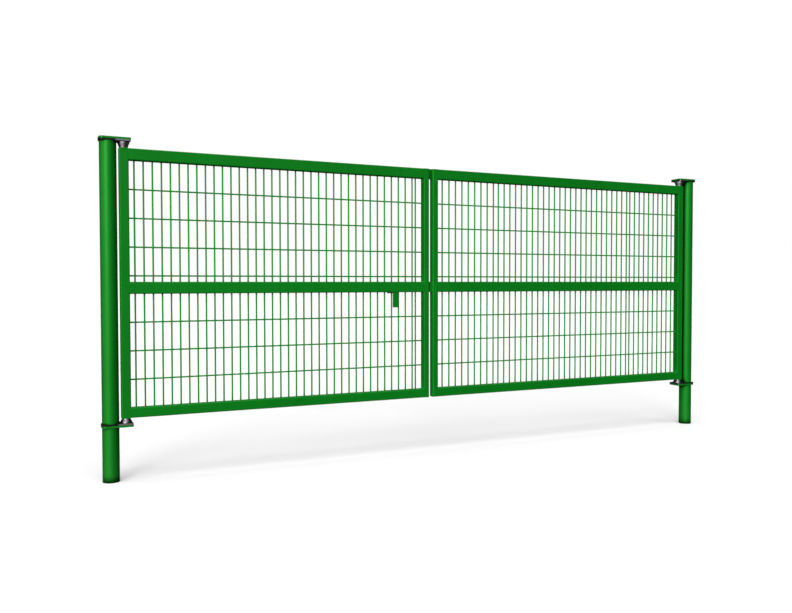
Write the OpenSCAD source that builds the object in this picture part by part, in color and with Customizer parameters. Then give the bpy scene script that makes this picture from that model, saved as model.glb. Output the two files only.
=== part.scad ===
// Double swing gate: two round posts, two unequal leaves of rectangular tube filled with
// welded wire mesh, pin hinges held between plates, and a slide bolt on the left leaf.
// Frame: the origin is the centre of the left post's foot, +X runs along the closed gate
// to the right post, +Y points away from the front, +Z is up. The gate stands closed.

/* [Leaves] */
// Width of the left leaf over its stiles
left_leaf_width = 2411; // [900:1:4000]
// Width of the right leaf over its stiles
right_leaf_width = 2749; // [900:1:4000]
// Height of both leaves
leaf_height = 1870; // [1200:10:2400]
// Gap between the two leaves where they meet
leaf_gap = 34; // [24:1:80]
// Height of the mid rail's centre above the bottom of the leaf
mid_rail_level = 906; // [400:1:1400]

/* [Frame tubes] */
// Depth of every frame tube, front to back
frame_depth = 60; // [40:1:80]
// Width of the stile that carries the hinges
hinge_stile_width = 64; // [50:1:90]
// Width of the stile where the leaves meet
free_stile_width = 50; // [30:1:60]
// Height of the top rail
top_rail_height = 82; // [40:1:120]
// Height of the mid rail
mid_rail_height = 85; // [60:1:120]
// Height of the bottom rail
bottom_rail_height = 72; // [40:1:120]
// Wall of the frame tubes
frame_wall = 3; // [2:0.5:5]
// Outer corner radius of the frame tubes
frame_corner = 8; // [4:0.5:12]

/* [Posts] */
// Outer diameter of the posts
post_diameter = 114.3; // [88:0.1:140]
// Wall of the posts
post_wall = 4; // [3:0.5:8]
// Length of post below the bottom of the leaves
post_leg = 436; // [150:1:1000]
// Thickness of the disc that closes a post's foot
foot_disc = 4; // [3:0.5:10]

/* [Mesh] */
// Diameter of the upright wires
upright_wire = 12; // [4:0.5:14]
// Diameter of the cross wires
cross_wire = 11; // [4:0.5:14]
// Spacing of the upright wires in the left leaf
left_wire_pitch = 61.9; // [40:0.1:100]
// Spacing of the upright wires in the right leaf's sheet beside the hinge stile
right_first_pitch = 57.5; // [40:0.1:100]
// Spacing of the upright wires in the right leaf's middle sheet
right_middle_pitch = 59; // [40:0.1:100]
// Spacing of the upright wires in the right leaf's sheet beside the free stile
right_last_pitch = 62.2; // [40:0.1:100]
// Number of upright wires in the right leaf's sheet beside the hinge stile
right_first_wires = 10; // [2:1:60]
// Number of upright wires in the right leaf's middle sheet
right_middle_wires = 25; // [2:1:60]
// Bay where the sheet beside the right hinge stile meets the middle sheet
first_joint_bay = 38; // [20:1:100]
// Bay where the middle sheet meets the sheet beside the right free stile
second_joint_bay = 50; // [20:1:100]
// Spacing of the cross wires
cross_wire_pitch = 200; // [100:5:300]
// Drop from a rail to the first cross wire under it
first_cross_drop = 198; // [40:1:300]
// First bay of the mesh, beside the left leaf's hinge stile
left_first_bay = 37; // [20:1:70]
// First bay of the mesh, beside the right leaf's hinge stile
right_first_bay = 62; // [20:1:70]
// Bay between the mesh's last wire and the left leaf's free stile
left_edge_bay = 64; // [20:1:80]
// Bay between the mesh's last wire and the right leaf's free stile
right_edge_bay = 52; // [20:1:80]

/* [Hinges] */
// Gap between a post and the rim of the collar beside it
post_clearance = 5.15; // [3:0.05:20]
// How far a hinge plate reaches past the rim of its collar
plate_lip = 4; // [0:1:20]
// How far a hinge plate stands out in front of, behind and beside its post
plate_margin = 4; // [3:1:20]
// Corner radius of a hinge plate at the post's outer side
plate_corner = 26; // [10:1:40]
// Thickness of a painted hinge plate
hinge_plate = 14; // [6:0.5:16]
// Thickness of the bare steel bearing plate against it
bearing_plate = 11; // [2:0.5:14]
// Height of the flared collar on top of a leaf
top_collar_height = 41; // [30:1:80]
// Height of the flared collar under a leaf
bottom_collar_height = 31; // [30:1:80]
// Ledge left around the neck of a collar on the end of its stile
collar_ledge = 1; // [1:0.5:8]
// Radius of a collar's rim beside the bearing plate
collar_rim = 40.5; // [30:0.5:50]
// Diameter of the pivot pins
pin_diameter = 25; // [16:1:32]
// Depth to which a pivot pin enters its collar
pin_depth = 24; // [18:1:26]
// Running clearance around a pivot pin, on the radius
pin_clearance = 0.1; // [0.05:0.01:0.3]
// Gap under the upper plate above the top collar
top_play = 2; // [0.5:0.5:4]
// Gap where the bottom collar bears on its plate
thrust_gap = 0.3; // [0.1:0.1:0.5]
// Height of a pin's hexagonal head
pin_head = 6; // [5:0.5:15]

/* [Bolt] */
// Height of the slide bolt's bar
bolt_height = 50; // [30:1:60]
// Thickness of the slide bolt's bar
bolt_thickness = 12; // [8:1:16]
// How far the bar's middle lies in front of the frame's middle
bolt_forward = 5.5; // [3:0.5:7]
// Gap around the bar where it passes through the free stile
bolt_gap = 0.5; // [0.3:0.1:1]
// Gap around the bar in its keeper
keeper_gap = 3; // [2:0.5:6]
// Clear gap between the left leaf and the blocks on the right leaf
keeper_clearance = 6; // [5:0.5:10]
// Wall of the keeper above and below the bar
keeper_wall = 14; // [8:1:18]
// Wall of the keeper in front of and behind the bar
keeper_face = 5; // [4:0.5:12]
// Depth of the block between the leaves at the top rail, front to back
gap_block_depth = 24; // [10:1:50]
// Width of the bolt's handle
handle_width = 50; // [30:1:80]
// Thickness of the bolt's handle
handle_thickness = 10; // [6:1:14]
// Length of handle below the mid rail
handle_drop = 122; // [80:1:160]
// Distance from the handle's centre to the leaf's free edge
handle_inset = 300; // [180:1:400]
// Gap around the handle in the mid rail's slot
slot_gap = 2; // [1:0.5:3]
// Length of the black stop beside the handle
stop_length = 46; // [20:1:80]
// Height of the black stop
stop_height = 8; // [4:1:14]

/* [Hidden] */
$fn = 64;
bite = 1;                       // overlap that makes a cut run clear of a face
post_radius = post_diameter / 2;
pivot_offset = post_radius + post_clearance + collar_rim;
plate_half = post_radius + plate_margin;
plate_end = pivot_offset + collar_rim + plate_lip;
plate_tip_corner = 10;
bearing_inset = 1;

leaf_start = pivot_offset - hinge_stile_width / 2;
post_spacing = 2 * leaf_start + left_leaf_width + leaf_gap + right_leaf_width;
leaf_bottom = post_leg;
leaf_top = leaf_bottom + leaf_height;
bottom_rail_top = leaf_bottom + bottom_rail_height;
mid_rail_bottom = leaf_bottom + mid_rail_level - mid_rail_height / 2;
mid_rail_top = mid_rail_bottom + mid_rail_height;
top_rail_bottom = leaf_top - top_rail_height;
mid_rail_centre = (mid_rail_bottom + mid_rail_top) / 2;

top_bearing_bottom = leaf_top + top_collar_height + top_play;
top_plate_bottom = top_bearing_bottom + bearing_plate;
top_plate_top = top_plate_bottom + hinge_plate;
bottom_bearing_top = leaf_bottom - bottom_collar_height - thrust_gap;
bottom_plate_top = bottom_bearing_top - bearing_plate;
bottom_plate_bottom = bottom_plate_top - hinge_plate;
post_top = top_bearing_bottom;
weld_gap = 0.15;                // radial gap that the weld fills between ring and post

weld_bite = 1;                  // how deep the crossing wires are welded into each other
cross_wire_y = (upright_wire + cross_wire) / 2 - weld_bite;
wire_sides = 8;
lowest_cross = 10;              // least height of a cross wire above the rail under it
narrowest_bay = 10;             // least room for one more upright wire

collar_neck = min(hinge_stile_width, frame_depth) / 2 - collar_ledge;
collar_foot = 4;
collar_rim_height = 5;
pin_head_radius = 15;
cap_plug_radius = 22;
cap_plug_height = 6;

keeper_length = leaf_gap - keeper_clearance;
bolt_tip_rest = 1;              // how far the bar's tip lies inside the free stile
bolt_travel = keeper_clearance + keeper_length - 2;
free_edge = leaf_start + left_leaf_width;
handle_centre = free_edge - handle_inset;
bolt_start = handle_centre - handle_width / 2 - 10;
handle_front = -bolt_forward - bolt_thickness / 2 - handle_thickness;

green = [0.07, 0.45, 0.13];
zinc = [0.66, 0.66, 0.69];
black = [0.05, 0.05, 0.05];

// ---------- placing ----------

// The right-hand side is the left-hand side mirrored about the gate's middle.
module on_right() {
    translate([post_spacing, 0, 0]) mirror([1, 0, 0]) children();
}

// ---------- shapes that repeat ----------

// Rectangle with rounded corners, centred on the origin.
module rounded_section(width, height, corner) {
    square([width - 2 * corner, height], center = true);
    square([width, height - 2 * corner], center = true);
    for (x = [-1, 1], y = [-1, 1])
        translate([x * (width / 2 - corner), y * (height / 2 - corner)])
            circle(r = corner, $fn = 32);
}

// Wall of a rectangular tube.
module tube_section(width, height) {
    difference() {
        rounded_section(width, height, frame_corner);
        rounded_section(width - 2 * frame_wall, height - 2 * frame_wall,
            frame_corner - frame_wall);
    }
}

// Upright tube with closed ends, standing on the bottom of the leaf at x.
module stile(x, width) {
    translate([x + width / 2, 0, leaf_bottom]) difference() {
        linear_extrude(leaf_height) rounded_section(width, frame_depth, frame_corner);
        translate([0, 0, frame_wall]) linear_extrude(leaf_height - 2 * frame_wall)
            rounded_section(width - 2 * frame_wall, frame_depth - 2 * frame_wall,
                frame_corner - frame_wall);
    }
}

// Level tube between the two stiles of a leaf.
module rail(clear, bottom, height) {
    translate([leaf_start + hinge_stile_width, 0, bottom + height / 2]) rotate([90, 0, 90])
        linear_extrude(clear) tube_section(frame_depth, height);
}

// ---------- mesh ----------

// Upright wires of one mesh sheet, measured from the hinge stile's inner face.
function sheet(first, pitch, count) = [for (i = [0:count - 1]) first + i * pitch];

// The wires that lie within a leaf, closed by the last one beside the free stile.
function closed(clear, edge_bay, wires) =
    let (last = clear - edge_bay)
    concat([for (x = wires) if (x < last - narrowest_bay) x], [last]);

// Welded mesh between two levels: upright wires with cross wires behind them.
module mesh(clear, places, bottom, top) {
    start = leaf_start + hinge_stile_width;
    rows = floor((top - bottom - first_cross_drop - lowest_cross) / cross_wire_pitch);
    color(green) union() {
        for (x = places) translate([start + x, 0, bottom])
            cylinder(d = upright_wire, h = top - bottom, $fn = wire_sides);
        for (i = [0:rows])
            translate([start, cross_wire_y, top - first_cross_drop - i * cross_wire_pitch])
                rotate([0, 90, 0]) cylinder(d = cross_wire, h = clear, $fn = wire_sides);
    }
}

left_clear = left_leaf_width - hinge_stile_width - free_stile_width;
right_clear = right_leaf_width - hinge_stile_width - free_stile_width;
right_middle_start = right_first_bay + (right_first_wires - 1) * right_first_pitch
    + first_joint_bay;
right_last_start = right_middle_start + (right_middle_wires - 1) * right_middle_pitch
    + second_joint_bay;
left_places = closed(left_clear, left_edge_bay,
    sheet(left_first_bay, left_wire_pitch, ceil(left_clear / left_wire_pitch)));
right_places = closed(right_clear, right_edge_bay, concat(
    sheet(right_first_bay, right_first_pitch, right_first_wires),
    sheet(right_middle_start, right_middle_pitch, right_middle_wires),
    sheet(right_last_start, right_last_pitch, ceil(right_clear / right_last_pitch))));

// ---------- posts and hinges ----------

module post() {
    color(green) translate([0, 0, foot_disc]) difference() {
        cylinder(r = post_radius, h = post_top - foot_disc);
        translate([0, 0, -bite])
            cylinder(r = post_radius - post_wall, h = post_top - foot_disc + 2 * bite);
    }
}

module foot_plate() {
    color(green) cylinder(r = post_radius, h = foot_disc);
}

// Outline of a hinge plate: its corners are wide behind the post and tight at the arm's tip.
module plate_outline(inset) {
    half = plate_half - inset;
    tip = plate_end - inset;
    outer = plate_corner - inset;
    inner = plate_tip_corner - inset;
    translate([outer - half, -half]) square([tip - inner + half - outer, 2 * half]);
    translate([-half, outer - half]) square([half, 2 * (half - outer)]);
    translate([0, inner - half]) square([tip, 2 * (half - inner)]);
    for (y = [-1, 1]) {
        translate([outer - half, y * (half - outer)]) circle(r = outer);
        translate([tip - inner, y * (half - inner)]) circle(r = inner, $fn = 32);
    }
}

// Plate with the pin's hole, and a hole for the post where the plate is a ring.
module pierced_plate(bottom, thickness, inset, ring) {
    translate([0, 0, bottom]) difference() {
        linear_extrude(thickness) plate_outline(inset);
        translate([pivot_offset, 0, -bite])
            cylinder(d = pin_diameter, h = thickness + 2 * bite);
        if (ring) translate([0, 0, -bite])
            cylinder(r = post_radius + weld_gap, h = thickness + 2 * bite);
    }
}

module top_hinge_plate() {
    color(green) pierced_plate(top_plate_bottom, hinge_plate, 0, false);
}

module bottom_hinge_plate() {
    color(green) pierced_plate(bottom_plate_bottom, hinge_plate, 0, true);
}

module top_bearing_plate() {
    color(zinc) pierced_plate(top_bearing_bottom, bearing_plate, bearing_inset, false);
}

module bottom_bearing_plate() {
    color(zinc) pierced_plate(bottom_plate_top, bearing_plate, bearing_inset, true);
}

// Pivot pin with its hexagonal head on the outer face of the hinge plate.
module pin(inner_face, outward) {
    length = bearing_plate + hinge_plate + pin_depth;
    color(zinc) translate([pivot_offset, 0, inner_face]) mirror([0, 0, outward > 0 ? 0 : 1])
        union() {
            translate([0, 0, -pin_depth]) cylinder(d = pin_diameter, h = length);
            translate([0, 0, bearing_plate + hinge_plate])
                cylinder(r = pin_head_radius, h = pin_head, $fn = 6);
        }
}

module top_pin() { pin(top_bearing_bottom, 1); }

module bottom_pin() { pin(bottom_bearing_top, -1); }

// Low plug in the middle of the upper hinge plate, over the post.
module cap_plug() {
    color(green) translate([0, 0, top_plate_top]) union() {
        cylinder(r = cap_plug_radius, h = cap_plug_height / 2);
        translate([0, 0, cap_plug_height / 2])
            cylinder(r1 = cap_plug_radius, r2 = cap_plug_radius / 2, h = cap_plug_height / 2);
    }
}

// Flared collar that stands on the end of a hinge stile and turns on the pin.
module collar(face, height, outward) {
    bore_depth = pin_depth + 3;
    color(zinc) translate([pivot_offset, 0, face]) mirror([0, 0, outward > 0 ? 0 : 1])
        difference() {
            union() {
                cylinder(r = collar_neck, h = collar_foot);
                translate([0, 0, collar_foot])
                    cylinder(r1 = collar_neck, r2 = collar_rim,
                        h = height - collar_foot - collar_rim_height);
                translate([0, 0, height - collar_rim_height])
                    cylinder(r = collar_rim, h = collar_rim_height);
            }
            translate([0, 0, height - bore_depth])
                cylinder(r = pin_diameter / 2 + pin_clearance, h = bore_depth + bite);
        }
}

module top_collar() { collar(leaf_top, top_collar_height, 1); }

module bottom_collar() { collar(leaf_bottom, bottom_collar_height, -1); }

// ---------- leaves ----------

module hinge_stile() {
    color(green) stile(leaf_start, hinge_stile_width);
}

module top_rail(clear) {
    color(green) rail(clear, top_rail_bottom, top_rail_height);
}

module plain_mid_rail(clear) {
    color(green) rail(clear, mid_rail_bottom, mid_rail_height);
}

module bottom_rail(clear) {
    color(green) rail(clear, leaf_bottom, bottom_rail_height);
}

module upper_mesh(clear, places) { mesh(clear, places, mid_rail_top, top_rail_bottom); }

module lower_mesh(clear, places) { mesh(clear, places, bottom_rail_top, mid_rail_bottom); }

module right_free_stile() {
    color(green) stile(leaf_start + right_leaf_width - free_stile_width, free_stile_width);
}

// The left free stile is pierced on both sides for the slide bolt.
module left_free_stile() {
    inner_face = free_edge - free_stile_width;
    color(green) difference() {
        stile(inner_face, free_stile_width);
        translate([inner_face - bite, -bolt_forward - bolt_thickness / 2 - bolt_gap,
                mid_rail_centre - bolt_height / 2 - bolt_gap])
            cube([free_stile_width + 2 * bite, bolt_thickness + 2 * bolt_gap,
                bolt_height + 2 * bolt_gap]);
    }
}

// The left mid rail has a slot in its underside for the handle.
module left_mid_rail() {
    color(green) difference() {
        plain_mid_rail(left_clear);
        translate([handle_centre - handle_width / 2 - slot_gap,
                handle_front - slot_gap, mid_rail_bottom - bite])
            cube([handle_width + bolt_travel + 2 * slot_gap,
                handle_thickness + 2 * slot_gap, frame_corner + 2 * bite]);
    }
}

// ---------- slide bolt ----------

// Flat bar inside the left mid rail, drawn back: its tip lies inside the free stile.
module lock_bolt() {
    color(zinc) translate([bolt_start, -bolt_forward - bolt_thickness / 2,
            mid_rail_centre - bolt_height / 2])
        cube([free_edge - bolt_tip_rest - bolt_start, bolt_thickness, bolt_height]);
}

// Handle welded to the bar's front face, hanging through the slot in front of the mesh.
module bolt_handle() {
    bottom = mid_rail_bottom - handle_drop;
    color(green) translate([handle_centre - handle_width / 2, handle_front, bottom])
        cube([handle_width, handle_thickness, mid_rail_centre - bottom]);
}

// Black stop under the rail, against which the drawn-back handle comes to rest.
module handle_stop() {
    front = frame_corner - frame_depth / 2;
    color(black) translate([handle_centre - handle_width / 2 - slot_gap - stop_length,
            front, mid_rail_bottom - stop_height])
        cube([stop_length, -upright_wire / 2 - front, stop_height]);
}

// Block on the right free stile with the slot that takes the bar.
module bolt_keeper() {
    slot_height = bolt_height + 2 * keeper_gap;
    slot_depth = bolt_thickness + 2 * keeper_gap;
    stile_face = free_edge + leaf_gap;
    color(green) translate([stile_face - keeper_length, -bolt_forward, mid_rail_centre])
        rotate([90, 0, 90]) linear_extrude(keeper_length) difference() {
            square([slot_depth + 2 * keeper_face, slot_height + 2 * keeper_wall], center = true);
            square([slot_depth, slot_height], center = true);
        }
}

// Block on the right free stile that fills the gap between the two top rails.
module top_gap_block() {
    color(green) translate([free_edge + keeper_clearance, -gap_block_depth / 2, top_rail_bottom])
        cube([keeper_length, gap_block_depth, top_rail_height]);
}

post();  // left_post
on_right() post();  // right_post
foot_plate();  // left_foot_disc
on_right() foot_plate();  // right_foot_disc
top_hinge_plate();  // left_top_hinge_plate
on_right() top_hinge_plate();  // right_top_hinge_plate
bottom_hinge_plate();  // left_bottom_hinge_plate
on_right() bottom_hinge_plate();  // right_bottom_hinge_plate
top_bearing_plate();  // left_top_bearing_plate
on_right() top_bearing_plate();  // right_top_bearing_plate
bottom_bearing_plate();  // left_bottom_bearing_plate
on_right() bottom_bearing_plate();  // right_bottom_bearing_plate
top_pin();  // left_top_pin
on_right() top_pin();  // right_top_pin
bottom_pin();  // left_bottom_pin
on_right() bottom_pin();  // right_bottom_pin
cap_plug();  // left_cap_plug
on_right() cap_plug();  // right_cap_plug
hinge_stile();  // left_hinge_stile
left_free_stile();
top_rail(left_clear);  // left_top_rail
left_mid_rail();
bottom_rail(left_clear);  // left_bottom_rail
upper_mesh(left_clear, left_places);  // left_upper_mesh
lower_mesh(left_clear, left_places);  // left_lower_mesh
top_collar();  // left_top_collar
bottom_collar();  // left_bottom_collar
on_right() hinge_stile();  // right_hinge_stile
on_right() right_free_stile();
on_right() top_rail(right_clear);  // right_top_rail
on_right() plain_mid_rail(right_clear);  // right_mid_rail
on_right() bottom_rail(right_clear);  // right_bottom_rail
on_right() upper_mesh(right_clear, right_places);  // right_upper_mesh
on_right() lower_mesh(right_clear, right_places);  // right_lower_mesh
on_right() top_collar();  // right_top_collar
on_right() bottom_collar();  // right_bottom_collar
lock_bolt();
bolt_handle();
handle_stop();
bolt_keeper();
top_gap_block();
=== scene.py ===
"""Finished looks of a double swing gate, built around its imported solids.

The gate stands closed in the shared frame: the origin is the centre of the left post's foot,
+X runs along the gate to the right post, +Y points away from the front and +Z is up.
Every size is in metres.
"""

import sys

import logging
import math
from abc import ABC, abstractmethod
from collections.abc import Iterable, Sequence
from dataclasses import dataclass, field
from enum import Enum

import bmesh
import bpy
from mathutils import Matrix, Vector


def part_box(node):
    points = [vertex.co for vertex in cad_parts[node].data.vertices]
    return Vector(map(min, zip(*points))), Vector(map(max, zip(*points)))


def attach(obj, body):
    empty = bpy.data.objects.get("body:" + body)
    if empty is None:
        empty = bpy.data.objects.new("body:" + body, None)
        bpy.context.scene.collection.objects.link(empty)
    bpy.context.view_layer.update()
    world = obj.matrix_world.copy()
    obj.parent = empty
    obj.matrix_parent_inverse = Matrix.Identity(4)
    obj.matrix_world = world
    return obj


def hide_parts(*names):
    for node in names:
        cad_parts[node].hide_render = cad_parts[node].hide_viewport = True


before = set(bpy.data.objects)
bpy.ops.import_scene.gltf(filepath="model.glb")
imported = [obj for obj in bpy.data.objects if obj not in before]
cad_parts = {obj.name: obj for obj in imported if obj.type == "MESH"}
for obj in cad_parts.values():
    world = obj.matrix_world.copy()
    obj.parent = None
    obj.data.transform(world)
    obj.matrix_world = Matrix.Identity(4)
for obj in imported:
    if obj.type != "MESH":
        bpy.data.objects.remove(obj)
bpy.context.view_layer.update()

log = logging.getLogger("gate")

Colour = tuple[float, float, float]
Setting = bpy.types.NodeSocket | float | int | bool | str | Sequence[float] | bpy.types.ID

MM = 0.001
TUBE_CORNER = 8 * MM
SAME_POINT = 0.02 * MM
CRISP_ANGLE = 1.0  # in radians
BEYOND_REACH = 10.0


class Side(Enum):
    """The two halves of the gate."""

    LEFT = "left"
    RIGHT = "right"


class Body(Enum):
    """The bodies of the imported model."""

    POSTS = "gate_posts"
    LEFT_LEAF = "left_leaf"
    RIGHT_LEAF = "right_leaf"
    BOLT = "slide_bolt"


class Slot(Enum):
    """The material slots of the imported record."""

    COAT = "green_coat"
    ZINC = "zinc_steel"
    PLASTIC = "black_plastic"


class Wire(Enum):
    """What a point of a mesh panel's layout stands for."""

    UPRIGHT = 0
    CROSS = 1
    BLOB = 2


# ---------- node trees ----------


class Graph:
    """A node tree under construction, for a material or for Geometry Nodes."""

    def __init__(self, tree: bpy.types.NodeTree) -> None:
        """Starts from an empty tree.

        Args:
            tree: the tree that the nodes go into.
        """
        self.tree = tree
        self.tree.nodes.clear()

    def node(self, kind: str, inputs: dict[str | int, Setting] | None = None,
             **settings: Setting) -> bpy.types.Node:
        """Adds a node and fills its sockets.

        Args:
            kind: the node's type name.
            inputs: a value or a source socket for each named or numbered socket.
            **settings: the node's own properties.

        Returns:
            The new node.
        """
        made = self.tree.nodes.new(kind)
        for name, value in settings.items():
            setattr(made, name, value)
        for key, value in (inputs or {}).items():
            socket = made.inputs[key]
            if isinstance(value, bpy.types.NodeSocket):
                self.tree.links.new(value, socket)
            else:
                socket.default_value = value
        return made

    def math(self, operation: str, first: Setting, second: Setting = 0.0) -> bpy.types.NodeSocket:
        """Adds a Math node.

        Args:
            operation: the node's operation.
            first: the first value or socket.
            second: the second value or socket.

        Returns:
            The result's socket.
        """
        return self.node("ShaderNodeMath", {0: first, 1: second}, operation=operation).outputs[0]


class Shading(Graph):
    """The node tree of one material, read in Object coordinates."""

    def __init__(self, name: str) -> None:
        """Makes the material and its coordinates.

        Args:
            name: the material's name.
        """
        self.material = bpy.data.materials.new(name)
        self.material.use_nodes = True
        super().__init__(self.material.node_tree)
        self.place = self.node("ShaderNodeTexCoord").outputs["Object"]

    def mapped(self, scale: Sequence[float], centre: Sequence[float] = (0, 0, 0)
               ) -> bpy.types.NodeSocket:
        """Coordinates stretched by a scale about a centre.

        Args:
            scale: the factor on each axis.
            centre: the point that becomes the origin.

        Returns:
            The vector socket.
        """
        moved = [-c * s for c, s in zip(centre, scale)]
        return self.node("ShaderNodeMapping", {"Vector": self.place, "Location": moved,
                                               "Scale": scale}).outputs["Vector"]

    def noise(self, scale: float, detail: float = 2.0, roughness: float = 0.5,
              vector: bpy.types.NodeSocket | None = None) -> bpy.types.NodeSocket:
        """A noise pattern from 0 to 1.

        Args:
            scale: how many features fit in a metre.
            detail: how many finer layers it has.
            roughness: how strong the finer layers are.
            vector: the coordinates, or None for the piece's own.

        Returns:
            The value socket.
        """
        return self.node("ShaderNodeTexNoise", {
            "Vector": vector or self.place, "Scale": scale, "Detail": detail,
            "Roughness": roughness}).outputs["Fac"]

    def spread(self, value: bpy.types.NodeSocket, start: float, end: float,
               low: float = 0.0, high: float = 1.0) -> bpy.types.NodeSocket:
        """Maps a range of a value smoothly onto another range, held at its ends.

        Args:
            value: the value socket.
            start: the value that gives low.
            end: the value that gives high.
            low: the result at start.
            high: the result at end.

        Returns:
            The value socket.
        """
        return self.node("ShaderNodeMapRange", {
            "Value": value, "From Min": start, "From Max": end, "To Min": low,
            "To Max": high}, interpolation_type="SMOOTHSTEP").outputs["Result"]

    def blend(self, factor: Setting, first: Setting, second: Setting) -> bpy.types.NodeSocket:
        """Mixes two colours.

        Args:
            factor: 0 for the first colour, 1 for the second.
            first: a colour or a socket.
            second: a colour or a socket.

        Returns:
            The colour socket.
        """
        def full(colour: Setting) -> Setting:
            """The colour with its alpha."""
            return colour if isinstance(colour, bpy.types.NodeSocket) else (*colour, 1.0)

        return self.node("ShaderNodeMix", {0: factor, 6: full(first), 7: full(second)},
                         data_type="RGBA").outputs[2]

    def bump(self, height: bpy.types.NodeSocket, distance: float, strength: float = 1.0,
             normal: bpy.types.NodeSocket | None = None) -> bpy.types.NodeSocket:
        """Turns a height pattern into a normal.

        Args:
            height: the pattern, from 0 to 1.
            distance: the relief's height.
            strength: how much of it shows.
            normal: the normal it is laid on, or None for the surface's own.

        Returns:
            The normal socket.
        """
        inputs: dict[str | int, Setting] = {"Height": height, "Distance": distance,
                                            "Strength": strength}
        if normal is not None:
            inputs["Normal"] = normal
        return self.node("ShaderNodeBump", inputs).outputs["Normal"]

    def openness(self, reach: float) -> bpy.types.NodeSocket:
        """How open the space in front of the surface is, from 0 in a nook to 1."""
        return self.node("ShaderNodeAmbientOcclusion", {"Distance": reach},
                         samples=8).outputs["AO"]

    def upward(self) -> bpy.types.NodeSocket:
        """How far the surface faces up, from 0 to 1."""
        normal = self.node("ShaderNodeNewGeometry").outputs["True Normal"]
        up = self.node("ShaderNodeSeparateXYZ", {0: normal}).outputs["Z"]
        return self.spread(up, 0.25, 0.95)

    def close(self, surface: dict[str | int, Setting]) -> bpy.types.Material:
        """Adds the surface shader and the output.

        Args:
            surface: values and sockets for the principled shader.

        Returns:
            The finished material.
        """
        shader = self.node("ShaderNodeBsdfPrincipled", surface)
        self.node("ShaderNodeOutputMaterial", {"Surface": shader.outputs[0]})
        return self.material


# ---------- finishes ----------


@dataclass(frozen=True)
class Finish(ABC):
    """A surface finish that can be made into a material."""

    name: str
    slot: Slot | None

    @abstractmethod
    def material(self) -> bpy.types.Material:
        """The node material of this finish."""


@dataclass(frozen=True)
class PowderCoat(Finish):
    """Satin green powder coat with a faint orange peel, rain streaks and a trace of dust.

    Where neighbours closer than the nook reach shut a place in, the coat turns to the nook colour
    and its highlight fades: painted shade, or painted light where the nook colour is the brighter.
    The kept share is how much of the open colour stays in the tightest place.
    """

    name: str = "green_powder_coat"
    slot: Slot | None = Slot.COAT
    colour: Colour = (0.0012, 0.113, 0.0064)
    shade: Colour = (0.0009, 0.099, 0.0047)
    dust: Colour = (0.17, 0.26, 0.15)
    chalk: Colour = (0.012, 0.19, 0.024)
    sheen_tint: Colour = (0.13, 1.0, 0.15)
    sheen: float = 0.76
    # Reach, kept share and colour of the painted shade in nooks, which is painted light where the
    # colour is brighter.
    nook: float = 80 * MM
    painted_nook_keep: float = 0.04
    painted_nook_colour: Colour = (0.00002, 0.0020, 0.0001)
    gloss_low: float = 0.38
    gloss_high: float = 0.48
    peel_per_metre: float = 330.0
    peel_height: float = 0.16 * MM
    splash_height: float = 0.30

    def material(self) -> bpy.types.Material:
        """The node material of this finish."""
        look = Shading(self.name)
        clouds = look.spread(look.noise(1.9, 3.0), 0.3, 0.7)
        streaks = look.spread(look.noise(1.0, 3.0, 0.6, look.mapped((46, 46, 1.6))), 0.56, 0.8)
        specks = look.spread(look.noise(900.0, 1.0), 0.66, 0.74)
        peel = look.noise(self.peel_per_metre, 1.6, 0.45)
        grain = look.noise(2600.0, 1.0)
        scuffs = look.spread(look.noise(1.0, 2.0, 0.7, look.mapped((420, 30, 60))), 0.70, 0.78)
        settled = look.math("MULTIPLY", look.upward(),
                            look.spread(look.noise(38.0, 4.0), 0.25, 0.8))
        height = look.node("ShaderNodeSeparateXYZ", {0: look.place}).outputs["Z"]
        splash = look.math("MULTIPLY", look.spread(height, self.splash_height, 0.0),
                           look.spread(look.noise(60.0, 5.0, 0.65), 0.42, 0.75))

        colour = look.blend(clouds, self.shade, self.colour)
        rough = look.spread(grain, 0.3, 0.7, self.gloss_low, self.gloss_high)
        for film, tone, cover, dulling in (
                (streaks, self.chalk, 0.20, 0.08), (specks, self.chalk, 0.10, None),
                (scuffs, self.chalk, 0.16, 0.12), (settled, self.dust, 0.16, 0.25),
                (splash, self.dust, 0.10, 0.22)):
            colour = look.blend(look.math("MULTIPLY", film, cover), colour, tone)
            if dulling is not None:
                rough = look.math("ADD", rough, look.math("MULTIPLY", film, dulling))
        # Painted shade from ambient occlusion: nooks take the nook colour and lose their
        # highlight, which is painted light where that colour is brighter.
        painted_nook_mask = look.spread(look.openness(self.nook), 0.50, 0.96, self.painted_nook_keep, 1.0)
        colour = look.blend(painted_nook_mask, self.painted_nook_colour, colour)

        relief = look.bump(peel, self.peel_height, 0.55)
        relief = look.bump(grain, 0.02 * MM, 0.4, relief)
        return look.close({"Base Color": colour, "Roughness": rough, "Normal": relief,
                           "Specular Tint": (*self.sheen_tint, 1.0),
                           "Specular IOR Level": look.math("MULTIPLY", painted_nook_mask, self.sheen)})


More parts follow.
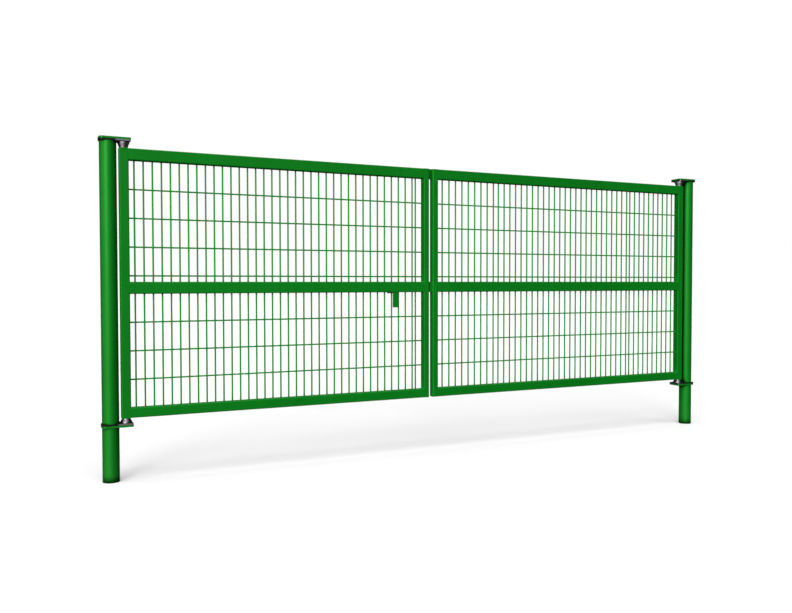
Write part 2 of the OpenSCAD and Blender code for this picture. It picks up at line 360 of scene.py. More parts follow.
@dataclass(frozen=True)
class ZincPlate(Finish):
    """Bare zinc-plated steel with a faint violet cast, turned or rubbed about an upright axis.

    Farther than the shade start from the axis, the colour turns near black: painted shade where
    the plate meets its post. BEYOND_REACH leaves it out.
    """

    name: str = "zinc_plate"
    slot: Slot | None = Slot.ZINC
    axis_x: float = 0.0
    bright: Colour = (0.46, 0.42, 0.46)
    dull: Colour = (0.27, 0.24, 0.27)
    grease: Colour = (0.06, 0.05, 0.045)
    grease_reach: float = 21 * MM
    # Painted shade: near black far from the axis, for the shadow around the post.
    painted_shade_tone: Colour = (0.006, 0.006, 0.006)
    painted_shade_start: float = BEYOND_REACH
    painted_shade_run: float = 12 * MM
    ring_pitch: float = 0.7 * MM

    def material(self) -> bpy.types.Material:
        """The node material of this finish."""
        look = Shading(self.name)
        about = look.mapped((1, 1, 1), (self.axis_x, 0, 0))
        cells = look.node("ShaderNodeTexVoronoi", {"Vector": look.place, "Scale": 210.0,
                                                   "Randomness": 1.0}).outputs["Distance"]
        spangle = look.spread(cells, 0.1, 0.75)
        patches = look.spread(look.noise(55.0, 4.0, 0.6), 0.40, 0.66)
        turned = look.node("ShaderNodeTexWave", {
            "Vector": about, "Scale": 1.0 / (self.ring_pitch * 20.0), "Distortion": 1.2,
            "Detail": 2.0, "Detail Scale": 2.5}, wave_type="RINGS",
            rings_direction="Z").outputs["Fac"]
        parts = look.node("ShaderNodeSeparateXYZ", {0: about})
        flat = look.node("ShaderNodeCombineXYZ", {0: parts.outputs[0], 1: parts.outputs[1]})
        radius = look.node("ShaderNodeVectorMath", {0: flat.outputs[0]},
                           operation="LENGTH").outputs["Value"]
        film = look.math("MULTIPLY", look.spread(radius, self.grease_reach, 13 * MM),
                         look.spread(look.noise(120.0, 3.0), 0.2, 0.6))
        fine = look.noise(1.0, 2.0, 0.6, look.mapped((1500, 1500, 180)))

        colour = look.blend(look.math("MULTIPLY", spangle, 0.35), self.bright, self.dull)
        colour = look.blend(look.math("MULTIPLY", patches, 0.45), colour, self.dull)
        colour = look.blend(look.math("MULTIPLY", film, 0.70), colour, self.grease)
        # Painted shade, darker away from the axis; it also roughens the surface there.
        painted_far_shade = look.spread(radius, self.painted_shade_start, self.painted_shade_start + self.painted_shade_run)
        colour = look.blend(look.math("MULTIPLY", painted_far_shade, 0.95), colour, self.painted_shade_tone)
        rough = look.math("ADD", look.spread(patches, 0.0, 1.0, 0.24, 0.42),
                          look.math("MULTIPLY", look.math("MAXIMUM", film, painted_far_shade), 0.2))
        relief = look.bump(turned, 0.03 * MM, 0.5)
        relief = look.bump(fine, 0.02 * MM, 0.4, relief)
        metal = look.math("SUBTRACT", 1.0, look.math("MULTIPLY", film, 0.8))
        return look.close({"Base Color": colour, "Roughness": rough, "Metallic": metal,
                           "Normal": relief})


@dataclass(frozen=True)
class BlackPlastic(Finish):
    """Matt black plastic with a fine moulded grain and worn, greyed high spots."""

    name: str = "black_stop_plastic"
    slot: Slot | None = Slot.PLASTIC
    colour: Colour = (0.010, 0.010, 0.011)
    worn: Colour = (0.045, 0.045, 0.046)

    def material(self) -> bpy.types.Material:
        """The node material of this finish."""
        look = Shading(self.name)
        grain = look.noise(1900.0, 2.0, 0.6)
        rubbed = look.spread(look.noise(90.0, 3.0, 0.6), 0.45, 0.72)
        colour = look.blend(look.math("MULTIPLY", rubbed, 0.6), self.colour, self.worn)
        rough = look.spread(grain, 0.3, 0.7, 0.46, 0.62)
        relief = look.bump(grain, 0.05 * MM, 0.6)
        return look.close({"Base Color": colour, "Roughness": rough, "Normal": relief})


@dataclass(frozen=True)
class StudioFloor(Finish):
    """Plain pale floor with a barely visible mottle."""

    name: str = "pale_floor"
    slot: Slot | None = None
    light: Colour = (0.735, 0.735, 0.735)
    deep: Colour = (0.71, 0.71, 0.71)

    def material(self) -> bpy.types.Material:
        """The node material of this finish."""
        look = Shading(self.name)
        colour = look.blend(look.noise(0.8, 4.0), self.deep, self.light)
        return look.close({"Base Color": colour, "Roughness": 0.85})


class Paints:
    """Makes each finish's material once and hands it out."""

    def __init__(self) -> None:
        """Starts with nothing made."""
        self._made: dict[Finish, bpy.types.Material] = {}

    def of(self, finish: Finish) -> bpy.types.Material:
        """The material of a finish, made on first use."""
        if finish not in self._made:
            self._made[finish] = finish.material()
        return self._made[finish]


PAINTS = Paints()


# ---------- pieces ----------


def seat(piece: bpy.types.Object, body: Body,
         stands_for: Sequence[str] = ()) -> bpy.types.Object:
    """Gives a finished piece its body, hides the CAD nodes that it stands for, and reports it.

    Args:
        piece: the piece, in place in the frame.
        body: the body that it moves with.
        stands_for: CAD nodes that it stands for.

    Returns:
        The piece.
    """
    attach(piece, body.value)
    if stands_for:
        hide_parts(*stands_for)
    log.info("%s: %d faces on %s", piece.name, len(piece.data.polygons), body.value)
    return piece


def new_object(name: str, mesh: bpy.types.Mesh) -> bpy.types.Object:
    """Links a mesh into the scene as an object at the origin."""
    made = bpy.data.objects.new(name, mesh)
    bpy.context.scene.collection.objects.link(made)
    return made


def baked(made: bpy.types.Object) -> bpy.types.Mesh:
    """Gives an object the plain result of its modifiers.

    Args:
        made: the object.

    Returns:
        Its new mesh.
    """
    start, graph = made.data, bpy.context.evaluated_depsgraph_get()
    result = bpy.data.meshes.new_from_object(made.evaluated_get(graph), depsgraph=graph)
    made.modifiers.clear()
    made.data = result
    bpy.data.meshes.remove(start)
    result.name = made.name
    return result


def dress(nodes: Iterable[str], finish: Finish) -> None:
    """Gives CAD nodes that stay in view their material.

    Args:
        nodes: the nodes' names.
        finish: their finish.
    """
    for name in nodes:
        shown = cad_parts[name]
        shown.data.materials.clear()
        shown.data.materials.append(PAINTS.of(finish))
        log.info("%s: carried over in %s", name, finish.name)


@dataclass(frozen=True)
class Softening:
    """Rounds the sharp edges of a CAD node's copy, as the real piece's are."""

    radius: float
    segments: int = 3
    sharp_degrees: float = 32.0
    merge: float = 0.002 * MM
    flat_degrees: float = 0.4
    profile: float = 0.5

    def copy_of(self, node: str, body: Body, finish: Finish) -> bpy.types.Object:
        """A merged copy of a CAD node with rounded edges, in the node's stead.

        Args:
            node: the CAD node.
            body: the body that it rides on.
            finish: its finish.

        Returns:
            The new piece.
        """
        shape = bmesh.new()
        shape.from_mesh(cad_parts[node].data)
        bmesh.ops.remove_doubles(shape, verts=shape.verts, dist=self.merge)
        bmesh.ops.dissolve_limit(shape, angle_limit=math.radians(self.flat_degrees),
                                 verts=shape.verts, edges=shape.edges)
        limit = math.radians(self.sharp_degrees)
        sharp = [e for e in shape.edges if e.is_manifold and e.calc_face_angle(0) > limit]
        bmesh.ops.bevel(shape, geom=sharp, offset=self.radius, offset_type="OFFSET",
                        segments=self.segments, profile=self.profile, affect="EDGES",
                        clamp_overlap=True)
        bmesh.ops.triangulate(shape, faces=[f for f in shape.faces if len(f.verts) > 4])
        for face in shape.faces:
            face.smooth = True
        for edge in shape.edges:
            edge.smooth = edge.is_manifold and edge.calc_face_angle(0) < limit
        mesh = bpy.data.meshes.new(node + "_rounded")
        shape.to_mesh(mesh)
        shape.free()
        mesh.materials.append(PAINTS.of(finish))
        made = new_object(node + "_rounded", mesh)
        made.modifiers.new("flat_faces", "WEIGHTED_NORMAL").keep_sharp = True
        baked(made)
        return seat(made, body, [node])


# ---------- geometry nodes ----------


class Growth(Graph):
    """A Geometry Nodes tree with named inputs, which turns a layout into a plain mesh."""

    def __init__(self, name: str, inputs: dict[str, tuple[str, Setting]]) -> None:
        """Makes the tree and its sockets.

        Args:
            name: the tree's name.
            inputs: the socket type and the value of each named input.
        """
        tree = bpy.data.node_groups.new(name, "GeometryNodeTree")
        tree.is_modifier = True
        super().__init__(tree)
        for way in ("INPUT", "OUTPUT"):
            tree.interface.new_socket("Geometry", in_out=way, socket_type="NodeSocketGeometry")
        self.values: dict[str, Setting] = {}
        for label, (kind, value) in inputs.items():
            socket = tree.interface.new_socket(label, in_out="INPUT",
                                               socket_type="NodeSocket" + kind)
            self.values[socket.identifier] = value
        self.given = self.node("NodeGroupInput").outputs

    def end(self, shape: bpy.types.NodeSocket) -> None:
        """Coats the shape and adds the output."""
        coated = self.node("GeometryNodeSetMaterial", {
            "Geometry": shape, "Material": self.given["Coat"]})
        self.node("NodeGroupOutput", {"Geometry": coated.outputs[0]})

    def run(self, name: str, start: bpy.types.Mesh) -> bpy.types.Object:
        """Runs the tree on a mesh and keeps the result as a plain mesh.

        Args:
            name: the new object's name.
            start: the mesh that the tree reads.

        Returns:
            The object, with no modifier left on it.
        """
        made = new_object(name, start)
        modifier = made.modifiers.new("growth", "NODES")
        modifier.node_group = self.tree
        for socket, value in self.values.items():
            modifier[socket] = value
        result = baked(made)
        for layer in [a.name for a in result.attributes if a.name in ("kind", "size")]:
            result.attributes.remove(result.attributes[layer])
        return made


# ---------- welded mesh ----------


@dataclass(frozen=True)
class WireLayout:
    """Where a panel's wires lie, as its CAD node has them."""

    uprights: tuple[float, ...]
    upright_y: float
    bottom: float
    top: float
    levels: tuple[float, ...]
    cross_y: float
    start: float
    end: float
    upright_radius: float
    cross_radius: float

    @staticmethod
    def _middles(values: Iterable[float], gap: float = 10 * MM) -> tuple[list[float], float]:
        """Middles of the clusters in a list of numbers, and the widest half width.

        Args:
            values: the numbers.
            gap: the least distance between two clusters.

        Returns:
            The middles in rising order, and half the widest cluster's width.
        """
        ordered = sorted(values)
        groups = [[ordered[0]]]
        for value in ordered[1:]:
            if value - groups[-1][-1] > gap:
                groups.append([])
            groups[-1].append(value)
        half = max((g[-1] - g[0]) / 2 for g in groups)
        return [(g[0] + g[-1]) / 2 for g in groups], half

    @classmethod
    def of_node(cls, node: str) -> "WireLayout":
        """Reads the layout from a CAD node's own corners.

        Args:
            node: the panel's CAD node.

        Returns:
            The layout.
        """
        corners = [v.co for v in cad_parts[node].data.vertices]
        low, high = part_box(node)
        heads = [c for c in corners if high.z - c.z < SAME_POINT]
        ends = [c for c in corners if c.x - low.x < SAME_POINT]
        uprights, upright_radius = cls._middles(c.x for c in heads)
        levels, cross_radius = cls._middles(c.z for c in ends)
        upright_y = sum(c.y for c in heads) / len(heads)
        cross_y = (min(c.y for c in ends) + max(c.y for c in ends)) / 2
        return cls(tuple(uprights), upright_y, low.z, high.z, tuple(levels), cross_y, low.x,
                   high.x, upright_radius, cross_radius)


@dataclass
class MeshPanel:
    """A panel of round welded wires with a nugget at each crossing and a bead at each end."""

    node: str
    body: Body
    finish: Finish
    sides: int = 16
    nugget: Sequence[float] = (7.0 * MM, 3.2 * MM, 6.6 * MM)
    end_bead: float = 8.4 * MM
    end_height: float = 2.6 * MM
    ball: tuple[int, int] = (8, 6)
    unevenness: float = 0.16
    seed: int = 11

    def _layout_mesh(self, wires: WireLayout) -> bpy.types.Mesh:
        """A point for each wire, nugget and bead, with its kind and its size.

        Args:
            wires: the panel's layout.

        Returns:
            The point mesh.
        """
        rows: list[tuple[Vector, Wire, tuple[float, float, float]]] = []
        reach = wires.top - wires.bottom
        flat = (self.end_bead, self.end_bead, self.end_height)
        touch = (wires.upright_y + wires.upright_radius + wires.cross_y - wires.cross_radius) / 2
        for x in wires.uprights:
            rows.append((Vector((x, wires.upright_y, wires.bottom)), Wire.UPRIGHT, (1, 1, reach)))
            for z in (wires.bottom, wires.top):
                rows.append((Vector((x, wires.upright_y, z)), Wire.BLOB, flat))
            for z in wires.levels:
                rows.append((Vector((x, touch, z)), Wire.BLOB, tuple(self.nugget)))
        for z in wires.levels:
            rows.append((Vector((wires.start, wires.cross_y, z)), Wire.CROSS,
                         (wires.end - wires.start, 1, 1)))
            for x in (wires.start, wires.end):
                rows.append((Vector((x, wires.cross_y, z)), Wire.BLOB,
                             (self.end_height, self.end_bead, self.end_bead)))
        mesh = bpy.data.meshes.new(self.node + "_layout")
        mesh.from_pydata([row[0] for row in rows], [], [])
        kinds = mesh.attributes.new("kind", "INT", "POINT")
        kinds.data.foreach_set("value", [row[1].value for row in rows])
        sizes = mesh.attributes.new("size", "FLOAT_VECTOR", "POINT")
        sizes.data.foreach_set("vector", [part for row in rows for part in row[2]])
        return mesh

    def _grow(self, wires: WireLayout) -> Growth:
        """The node tree that turns the layout's points into wires and weld nuggets.

        Args:
            wires: the panel's layout.

        Returns:
            The tree.
        """
        graph = Growth("welded_wires", {
            "Upright Radius": ("Float", wires.upright_radius),
            "Cross Radius": ("Float", wires.cross_radius), "Sides": ("Int", self.sides),
            "Unevenness": ("Float", self.unevenness), "Seed": ("Int", self.seed),
            "Coat": ("Material", PAINTS.of(self.finish))})
        given = graph.given
        kind = graph.node("GeometryNodeInputNamedAttribute", {"Name": "kind"},
                          data_type="INT").outputs["Attribute"]
        size = graph.node("GeometryNodeInputNamedAttribute", {"Name": "size"},
                          data_type="FLOAT_VECTOR").outputs["Attribute"]
        bend = graph.node("GeometryNodeInputMeshEdgeAngle").outputs["Unsigned Angle"]
        rim = graph.node("FunctionNodeCompare", {0: bend, 1: CRISP_ANGLE}, data_type="FLOAT",
                         operation="GREATER_THAN")

        def picked(which: Wire) -> bpy.types.NodeSocket:
            """The points of one kind."""
            same = graph.node("FunctionNodeCompare", {2: kind, 3: which.value},
                              data_type="INT", operation="EQUAL")
            return graph.node("GeometryNodeSeparateGeometry", {
                "Geometry": given["Geometry"], "Selection": same.outputs[0]},
                domain="POINT").outputs["Selection"]

        def wire(radius: str, turn: tuple[float, float, float],
                 shift: tuple[float, float, float]) -> bpy.types.NodeSocket:
            """A wire one metre long that starts at the origin."""
            rod = graph.node("GeometryNodeMeshCylinder", {
                "Vertices": given["Sides"], "Side Segments": 1, "Radius": given[radius],
                "Depth": 1.0}, fill_type="NGON")
            smooth = graph.node("GeometryNodeSetShadeSmooth", {"Geometry": rod.outputs["Mesh"]})
            crisp = graph.node("GeometryNodeSetShadeSmooth", {
                "Geometry": smooth.outputs[0], "Selection": rim.outputs[0],
                "Shade Smooth": False}, domain="EDGE")
            return graph.node("GeometryNodeTransform", {
                "Geometry": crisp.outputs[0], "Rotation": turn,
                "Translation": shift}).outputs["Geometry"]

        even = graph.math("SUBTRACT", 1.0, given["Unevenness"])
        swollen = graph.math("ADD", 1.0, given["Unevenness"])
        swell = graph.node("FunctionNodeRandomValue", {
            2: even, 3: swollen, "Seed": given["Seed"]}, data_type="FLOAT").outputs[1]
        blob_size = graph.node("ShaderNodeVectorMath", {0: size, "Scale": swell},
                               operation="SCALE").outputs["Vector"]
        sphere = graph.node("GeometryNodeMeshUVSphere", {
            "Radius": 1.0, "Segments": self.ball[0], "Rings": self.ball[1]})
        ball = graph.node("GeometryNodeSetShadeSmooth", {"Geometry": sphere.outputs["Mesh"]})
        parts = [
            (Wire.UPRIGHT, wire("Upright Radius", (0, 0, 0), (0, 0, 0.5)), size),
            (Wire.CROSS, wire("Cross Radius", (0, math.pi / 2, 0), (0.5, 0, 0)), size),
            (Wire.BLOB, ball.outputs[0], blob_size),
        ]
        joined = graph.node("GeometryNodeJoinGeometry")
        for which, shape, scale in parts:
            laid = graph.node("GeometryNodeInstanceOnPoints", {
                "Points": picked(which), "Instance": shape, "Scale": scale})
            graph.tree.links.new(laid.outputs["Instances"], joined.inputs["Geometry"])
        real = graph.node("GeometryNodeRealizeInstances", {"Geometry": joined.outputs[0]})
        graph.end(real.outputs[0])
        return graph

    def build(self) -> bpy.types.Object:
        """Builds the panel in the stead of its CAD node.

        Returns:
            The panel.
        """
        wires = WireLayout.of_node(self.node)
        made = self._grow(wires).run(self.node + "_wires", self._layout_mesh(wires))
        return seat(made, self.body, [self.node])


# ---------- weld seams ----------


@dataclass
class Seam:
    """One run of weld bead along a line of points."""

    points: list[Vector]
    closed: bool = False

    @staticmethod
    def ring(centre: Vector, radius: float, steps: int = 72) -> "Seam":
        """A bead around an upright axis.

        Args:
            centre: the ring's centre.
            radius: its radius.
            steps: how many points it has.

        Returns:
            The seam.
        """
        turns = (2 * math.pi * i / steps for i in range(steps))
        return Seam([centre + Vector((math.cos(t), math.sin(t), 0)) * radius for t in turns], True)


@dataclass
class WeldBeads:
    """Rippled weld beads along seams, joined into one coated piece."""

    name: str
    body: Body
    finish: Finish
    seams: list[Seam] = field(default_factory=list)
    radius: float = 2.6 * MM
    ripple: float = 2.8 * MM
    depth: float = 0.16
    lump: float = 0.05
    step: float = 0.8 * MM
    sides: int = 8
    seed: int = 5

    def _grow(self) -> Growth:
        """The node tree that lays a rippled bead along the seams.

        Returns:
            The tree.
        """
        graph = Growth("weld_bead", {
            "Radius": ("Float", self.radius), "Ripple": ("Float", self.ripple),
            "Depth": ("Float", self.depth), "Step": ("Float", self.step),
            "Seed": ("Int", self.seed), "Coat": ("Material", PAINTS.of(self.finish))})
        given = graph.given
        line = graph.node("GeometryNodeMeshToCurve", {"Mesh": given["Geometry"]})
        fine = graph.node("GeometryNodeResampleCurve", {
            "Curve": line.outputs[0], "Length": given["Step"]}, mode="LENGTH")
        along = graph.node("GeometryNodeSplineParameter").outputs["Length"]
        phase = graph.math("MULTIPLY", graph.math("DIVIDE", along, given["Ripple"]), math.tau)
        wave = graph.math("MULTIPLY", graph.math("SINE", phase), given["Depth"])
        lump = graph.node("FunctionNodeRandomValue", {
            2: -self.lump, 3: self.lump, "Seed": given["Seed"]}, data_type="FLOAT").outputs[1]
        swell = graph.math("ADD", graph.math("ADD", wave, lump), 1.0)
        ring = graph.node("GeometryNodeCurvePrimitiveCircle", {
            "Resolution": self.sides, "Radius": given["Radius"]}, mode="RADIUS")
        bead = graph.node("GeometryNodeCurveToMesh", {
            "Curve": fine.outputs[0], "Profile Curve": ring.outputs["Curve"], "Scale": swell,
            "Fill Caps": True})
        real = graph.node("GeometryNodeRealizeInstances", {"Geometry": bead.outputs[0]})
        smooth = graph.node("GeometryNodeSetShadeSmooth", {"Geometry": real.outputs[0]})
        graph.end(smooth.outputs[0])
        return graph

    def build(self) -> bpy.types.Object:
        """Lays the beads.

        Returns:
            The piece.
        """
        corners: list[Vector] = []
        edges: list[tuple[int, int]] = []
        for seam in self.seams:
            first, count = len(corners), len(seam.points)
            corners += seam.points
            edges += [(first + i, first + i + 1) for i in range(count - 1)]
            if seam.closed:
                edges.append((first + count - 1, first))
        mesh = bpy.data.meshes.new(self.name + "_lines")
        mesh.from_pydata(corners, edges, [])
        return seat(self._grow().run(self.name, mesh), self.body)


# ---------- sub-assemblies ----------


def rounded_outline(half_width: float, half_height: float, corner: float,
                    steps: int = 6) -> list[tuple[float, float]]:
    """Corner points of a rounded rectangle, running once around it.

    Args:
        half_width: half its width.
        half_height: half its height.
        corner: its corner radius.
        steps: how many chords a corner has.

    Returns:
        The points.
    """
    points = []
    for quarter, (sx, sy) in enumerate(((1, 1), (-1, 1), (-1, -1), (1, -1))):
        for step in range(steps + 1):
            turn = math.pi / 2 * (quarter + step / steps)
            points.append((sx * (half_width - corner) + corner * math.cos(turn),
                           sy * (half_height - corner) + corner * math.sin(turn)))
    return points


@dataclass
class PostPair:
    """The two posts with their hinge plates, pins and cap plugs."""

    coat: Finish
    plate_edge: float = 1.6 * MM
    bearing_edge: float = 0.8 * MM
    head_edge: float = 1.2 * MM
    plug_edge: float = 0.8 * MM
    # Bearing plates and pins take a darker copy of the top collars' zinc, painted shade under the
    # hinge plates; from the shade start on it turns near black towards the post, painted shade
    # too.
    shaded_plate_bright: Colour = (0.22, 0.20, 0.22)
    shaded_plate_dull: Colour = (0.12, 0.108, 0.12)
    painted_shade_start: float = 76 * MM
    bead: float = 2.6 * MM

    def _hinge_hardware(self, side: Side) -> None:
        """Rounds the plates, pins and plug of one post.

        Args:
            side: which post.
        """
        zinc = ZincPlate(name=side.value + "_hinge_zinc", axis_x=pivot_x(side),
                         bright=self.shaded_plate_bright, dull=self.shaded_plate_dull,
                         painted_shade_start=self.painted_shade_start)
        for level in ("top", "bottom"):
            stem = f"{side.value}_{level}_"
            Softening(self.plate_edge).copy_of(stem + "hinge_plate", Body.POSTS, self.coat)
            Softening(self.bearing_edge, 2).copy_of(stem + "bearing_plate", Body.POSTS, zinc)
            Softening(self.head_edge).copy_of(stem + "pin", Body.POSTS, zinc)
        Softening(self.plug_edge, 2, 20.0).copy_of(side.value + "_cap_plug", Body.POSTS,
                                                   self.coat)

    def _beads(self) -> None:
        """Welds around each post, at its cap and under its lower plate."""
        seams = []
        for side in Side:
            low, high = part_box(side.value + "_post")
            centre = (low + high) / 2
            radius = (high.x - low.x) / 2
            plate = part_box(side.value + "_bottom_hinge_plate")[0].z
            for level in (high.z - self.bead / 3, plate - self.bead / 3):
                seams.append(Seam.ring(Vector((centre.x, centre.y, level)), radius))
            plug_low, plug_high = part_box(side.value + "_cap_plug")
            plug = (plug_high.x - plug_low.x) / 2
            seams.append(Seam.ring(Vector((centre.x, centre.y, plug_low.z)), plug))
        WeldBeads("post_welds", Body.POSTS, self.coat, seams, radius=self.bead).build()

    def build(self) -> None:
        """Builds everything on the posts' body."""
        dress([side.value + "_post" for side in Side], self.coat)
        dress([side.value + "_foot_disc" for side in Side], self.coat)
        for side in Side:
            self._hinge_hardware(side)
        self._beads()


def pivot_x(side: Side) -> float:
    """Where a leaf's pivot axis stands along the gate."""
    low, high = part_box(side.value + "_top_collar")
    return (low.x + high.x) / 2


@dataclass
class Leaf:
    """One leaf: tubes, mesh panels, collars and welds."""

    side: Side
    coat: Finish
    mesh_coat_painted_light: Finish
    end_edge: float = 1.2 * MM
    collar_edge: float = 1.0 * MM
    bead: float = 2.6 * MM
    flush_inset: float = 0.12 * MM
    back_sink: float = 1.4 * MM
    # The bottom collars take a darker copy of the top collars' zinc: painted shade.
    collar_lit_and_shaded_tones: dict[str, tuple[Colour, Colour]] = field(default_factory=lambda: {
        "top_collar": ((0.46, 0.42, 0.46), (0.27, 0.24, 0.27)),
        "bottom_collar": ((0.24, 0.21, 0.24), (0.13, 0.115, 0.13))})

    @property
    def body(self) -> Body:
        """The body that the leaf is."""
        return Body.LEFT_LEAF if self.side is Side.LEFT else Body.RIGHT_LEAF

    def node(self, part: str) -> str:
        """The CAD node of one of this leaf's parts."""
        return f"{self.side.value}_{part}"

    def _joints(self) -> list[tuple[float, int, Vector, Vector]]:
        """The six places where a rail meets a stile.

        Returns:
            For each, the stile's face, the direction into the stile, and the rail's box.
        """
        found = []
        for rail in ("top_rail", "mid_rail", "bottom_rail"):
            low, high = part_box(self.node(rail))
            found += [(low.x, -1, low, high), (high.x, 1, low, high)]
        return found

    def _flush_welds(self) -> None:
        """Weld ground flush with the rails, which fills the stiles' rounded corners."""
        shape = bmesh.new()
        for face, into, low, high in self._joints():
            middle = (low + high) / 2
            outline = rounded_outline((high.y - low.y) / 2 - self.flush_inset,
                                      (high.z - low.z) / 2 - self.flush_inset, TUBE_CORNER)
            rings = []
            for x in (face, face + into * TUBE_CORNER):
                rings.append([shape.verts.new((x, middle.y + a, middle.z + b))
                              for a, b in outline])
            count = len(outline)
            for i in range(count):
                wall = shape.faces.new((rings[0][i], rings[0][(i + 1) % count],
                                        rings[1][(i + 1) % count], rings[1][i]))
                wall.smooth = True
            for ring in rings:
                shape.faces.new(ring)
        bmesh.ops.recalc_face_normals(shape, faces=shape.faces)
        for edge in shape.edges:
            edge.smooth = edge.calc_face_angle(0) < CRISP_ANGLE
        mesh = bpy.data.meshes.new(self.node("flush_welds"))
        shape.to_mesh(mesh)
        shape.free()
        mesh.materials.append(PAINTS.of(self.coat))
        seat(new_object(self.node("flush_welds"), mesh), self.body)

    def _beads(self) -> None:
        """Fillet beads in the corners, down the back of each joint and around the collars."""
        seams = []
        stile_low, stile_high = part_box(self.node("hinge_stile"))
        for face, into, low, high in self._joints():
            front, back = low.y + TUBE_CORNER, high.y - TUBE_CORNER
            levels = [z for z in (low.z, high.z)
                      if stile_low.z + TUBE_CORNER < z < stile_high.z - TUBE_CORNER]
            for z in levels:
                seams.append(Seam([Vector((face, front, z)), Vector((face, back, z))]))
            x = face + into * TUBE_CORNER
            y = high.y - self.back_sink
            seams.append(Seam([Vector((x, y, low.z + TUBE_CORNER)),
                               Vector((x, y, high.z - TUBE_CORNER))]))
        for part, level in (("top_collar", stile_high.z), ("bottom_collar", stile_low.z)):
            low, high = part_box(self.node(part))
            neck = collar_neck(self.node(part), level)
            seams.append(Seam.ring(Vector(((low.x + high.x) / 2, (low.y + high.y) / 2, level)),
                                   neck))
        WeldBeads(self.node("welds"), self.body, self.coat, seams, radius=self.bead).build()

    def build(self) -> None:
        """Builds everything on this leaf's body."""
        dress([self.node(rail) for rail in ("top_rail", "mid_rail", "bottom_rail")], self.coat)
        for stile in ("hinge_stile", "free_stile"):
            Softening(self.end_edge).copy_of(self.node(stile), self.body, self.coat)
        for panel in ("upper_mesh", "lower_mesh"):
            MeshPanel(self.node(panel), self.body, self.mesh_coat_painted_light).build()
        for collar, tones in self.collar_lit_and_shaded_tones.items():
            zinc = ZincPlate(name=self.node(collar) + "_zinc", axis_x=pivot_x(self.side),
                             bright=tones[0], dull=tones[1])
            Softening(self.collar_edge, 3, 28.0).copy_of(self.node(collar), self.body, zinc)
        self._flush_welds()
        self._beads()


def collar_neck(node: str, level: float) -> float:
    """The radius of a collar where it stands on its stile.

    Args:
        node: the collar's CAD node.
        level: the height of the stile's end.

    Returns:
        The radius.
    """
    low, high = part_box(node)
    middle = (low + high) / 2
    rim = [math.hypot(v.co.x - middle.x, v.co.y - middle.y)
           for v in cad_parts[node].data.vertices if abs(v.co.z - level) < SAME_POINT]
    return max(rim)


@dataclass
class SlideBolt:
    """The lock: its bar and handle, the left leaf's stop and the right leaf's blocks."""

    coat: Finish
    block_coat: Finish
    plastic: Finish
    handle_edge: float = 2.0 * MM
    bar_edge: float = 1.5 * MM
    block_edge: float = 1.5 * MM
    stop_edge: float = 1.5 * MM
    bead: float = 2.0 * MM
    bead_corner: float = 3.0 * MM
    blocks: tuple[str, ...] = ("bolt_keeper", "top_gap_block")

    def _block_beads(self) -> None:
        """Beads that hold the two blocks to the right free stile."""
        seams = []
        for block in self.blocks:
            low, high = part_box(block)
            middle = (low + high) / 2
            outline = rounded_outline((high.y - low.y) / 2, (high.z - low.z) / 2,
                                      self.bead_corner, 2)
            seams.append(Seam([Vector((high.x, middle.y + a, middle.z + b))
                               for a, b in outline], True))
        WeldBeads("block_welds", Body.RIGHT_LEAF, self.coat, seams, radius=self.bead).build()

    def build(self) -> None:
        """Builds the bolt's pieces on their own bodies."""
        bar = ZincPlate(name="bolt_zinc", axis_x=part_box("lock_bolt")[1].x)
        Softening(self.bar_edge).copy_of("lock_bolt", Body.BOLT, bar)
        Softening(self.handle_edge).copy_of("bolt_handle", Body.BOLT, self.coat)
        for block in self.blocks:
            Softening(self.block_edge).copy_of(block, Body.RIGHT_LEAF, self.block_coat)
        Softening(self.stop_edge).copy_of("handle_stop", Body.LEFT_LEAF, self.plastic)
        self._block_beads()


# ---------- studio ----------


@dataclass(frozen=True)
class Lamp:
    """A distant lamp, its direction given from the gate in degrees.

    A fill lamp casts no shadow and makes no highlight.
    """

    name: str
    from_left: float
    above: float
    spread: float
    strength: float
    fill: bool = False


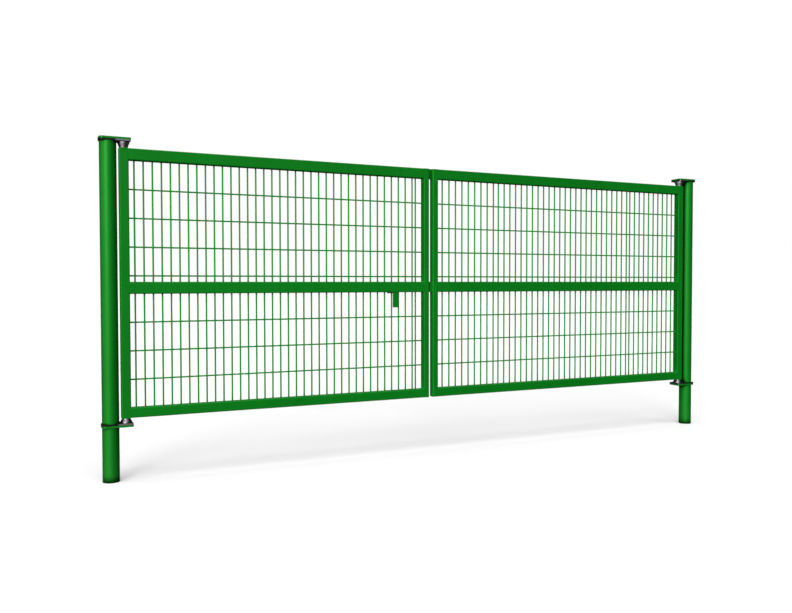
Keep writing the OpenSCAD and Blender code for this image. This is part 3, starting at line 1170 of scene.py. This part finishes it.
@dataclass
class Studio:
    """Pale floor, soft light and the camera."""

    eye: Vector = field(default_factory=lambda: Vector((-0.6313, -5.8520, 1.3708)))
    turn_right: float = 25.76
    look_down: float = 1.642
    roll: float = -0.066
    lens: float = 36.60
    lamps: Sequence[Lamp] = (Lamp("key", 35.0, 18.0, 28.0, 2.15),
                             Lamp("overhead", 20.0, 78.0, 60.0, 2.0),
                             Lamp("back", 180.0, 15.0, 20.0, 2.1, fill=True))
    sensor: float = 36.0
    floor_half: float = 60.0
    seen_light: float = 1.0
    dark_sky: float = 0.03
    bright_sky: float = 1.5
    sky_from: Sequence[float] = (-0.62, -0.66, 0.42)

    def _floor(self) -> None:
        """The floor that the posts stand on."""
        half = self.floor_half
        mesh = bpy.data.meshes.new("floor")
        mesh.from_pydata([(-half, -half, 0), (half, -half, 0), (half, half, 0), (-half, half, 0)],
                         [], [(0, 1, 2, 3)])
        mesh.materials.append(PAINTS.of(StudioFloor()))
        floor = new_object("floor", mesh)
        floor.visible_diffuse = floor.visible_glossy = False

    def _sky(self) -> None:
        """A white surround that casts its light from the left of the front."""
        world = bpy.data.worlds.new("studio")
        world.use_nodes = True
        graph = Graph(world.node_tree)
        seen = graph.node("ShaderNodeLightPath").outputs["Is Camera Ray"]
        way = graph.node("ShaderNodeTexCoord").outputs["Generated"]
        facing = graph.node("ShaderNodeVectorMath", {0: way, 1: self.sky_from},
                            operation="DOT_PRODUCT").outputs["Value"]
        cast = graph.node("ShaderNodeMapRange", {
            "Value": facing, "From Min": 0.1, "From Max": 1.0, "To Min": self.dark_sky,
            "To Max": self.bright_sky}, interpolation_type="SMOOTHSTEP").outputs["Result"]
        power = graph.node("ShaderNodeMix", {0: seen, 2: cast, 3: self.seen_light},
                           data_type="FLOAT").outputs[0]
        sky = graph.node("ShaderNodeBackground", {"Color": (1, 1, 1, 1), "Strength": power})
        graph.node("ShaderNodeOutputWorld", {"Surface": sky.outputs[0]})
        bpy.context.scene.world = world

    def _lamp(self, lamp: Lamp) -> None:
        """Adds a distant lamp."""
        data = bpy.data.lights.new(lamp.name, "SUN")
        data.energy, data.angle = lamp.strength, math.radians(lamp.spread)
        data.use_shadow = not lamp.fill
        left, above = math.radians(lamp.from_left), math.radians(lamp.above)
        source = Vector((-math.sin(left) * math.cos(above), -math.cos(left) * math.cos(above),
                         math.sin(above)))
        made = bpy.data.objects.new(lamp.name, data)
        made.visible_glossy = not lamp.fill
        made.rotation_mode = "QUATERNION"
        made.rotation_quaternion = source.to_track_quat("Z", "Y")
        bpy.context.scene.collection.objects.link(made)

    def _camera(self) -> None:
        """The camera, turned to the right of the gate's front and a little down."""
        turn, down, roll = (math.radians(a) for a in (self.turn_right, self.look_down, self.roll))
        ahead = Vector((math.sin(turn) * math.cos(down), math.cos(turn) * math.cos(down),
                        -math.sin(down)))
        right = Vector((math.cos(turn), -math.sin(turn), 0))
        up = right.cross(ahead)
        across = right * math.cos(roll) + up * math.sin(roll)
        upward = up * math.cos(roll) - right * math.sin(roll)
        data = bpy.data.cameras.new("view")
        data.lens, data.sensor_width = self.lens, self.sensor
        camera = bpy.data.objects.new("view", data)
        camera.matrix_world = Matrix.Translation(self.eye) @ Matrix(
            (across, upward, -ahead)).transposed().to_4x4()
        bpy.context.scene.collection.objects.link(camera)
        bpy.context.scene.camera = camera

    def build(self) -> None:
        """Sets up the studio."""
        self._floor()
        self._sky()
        for lamp in self.lamps:
            self._lamp(lamp)
        self._camera()
        bpy.context.scene.view_settings.view_transform = "Standard"


def main() -> None:
    """Builds the studio and then the gate's pieces in order."""
    logging.basicConfig(level=logging.INFO, format="%(name)s: %(message)s", stream=sys.stdout)
    # The frame coat turns a brighter green in its nooks: painted light, such as in the gap between
    # the leaves.
    frame_coat = PowderCoat(name="green_frame_coat", colour=(0.0012, 0.119, 0.0066),
                            shade=(0.0009, 0.104, 0.0049), sheen=0.5, painted_nook_keep=0.1,
                            painted_nook_colour=(0.0008, 0.215, 0.0085))
    # The mesh coat is the same green paint made brighter: painted light on the thin wires. Its
    # nooks darken less.
    mesh_coat_painted_light = PowderCoat(name="green_mesh_coat", colour=(0.0040, 0.180, 0.0120),
                           shade=(0.0032, 0.160, 0.0098), sheen=0.7, painted_nook_keep=0.45)
    post_coat = PowderCoat()
    Studio().build()
    PostPair(post_coat).build()
    for side in Side:
        Leaf(side, frame_coat, mesh_coat_painted_light).build()
    # The blocks take the post coat, whose nooks darken: painted shade in the gap between the
    # leaves.
    SlideBolt(frame_coat, post_coat, BlackPlastic()).build()


if __name__ == "__main__":
    main()
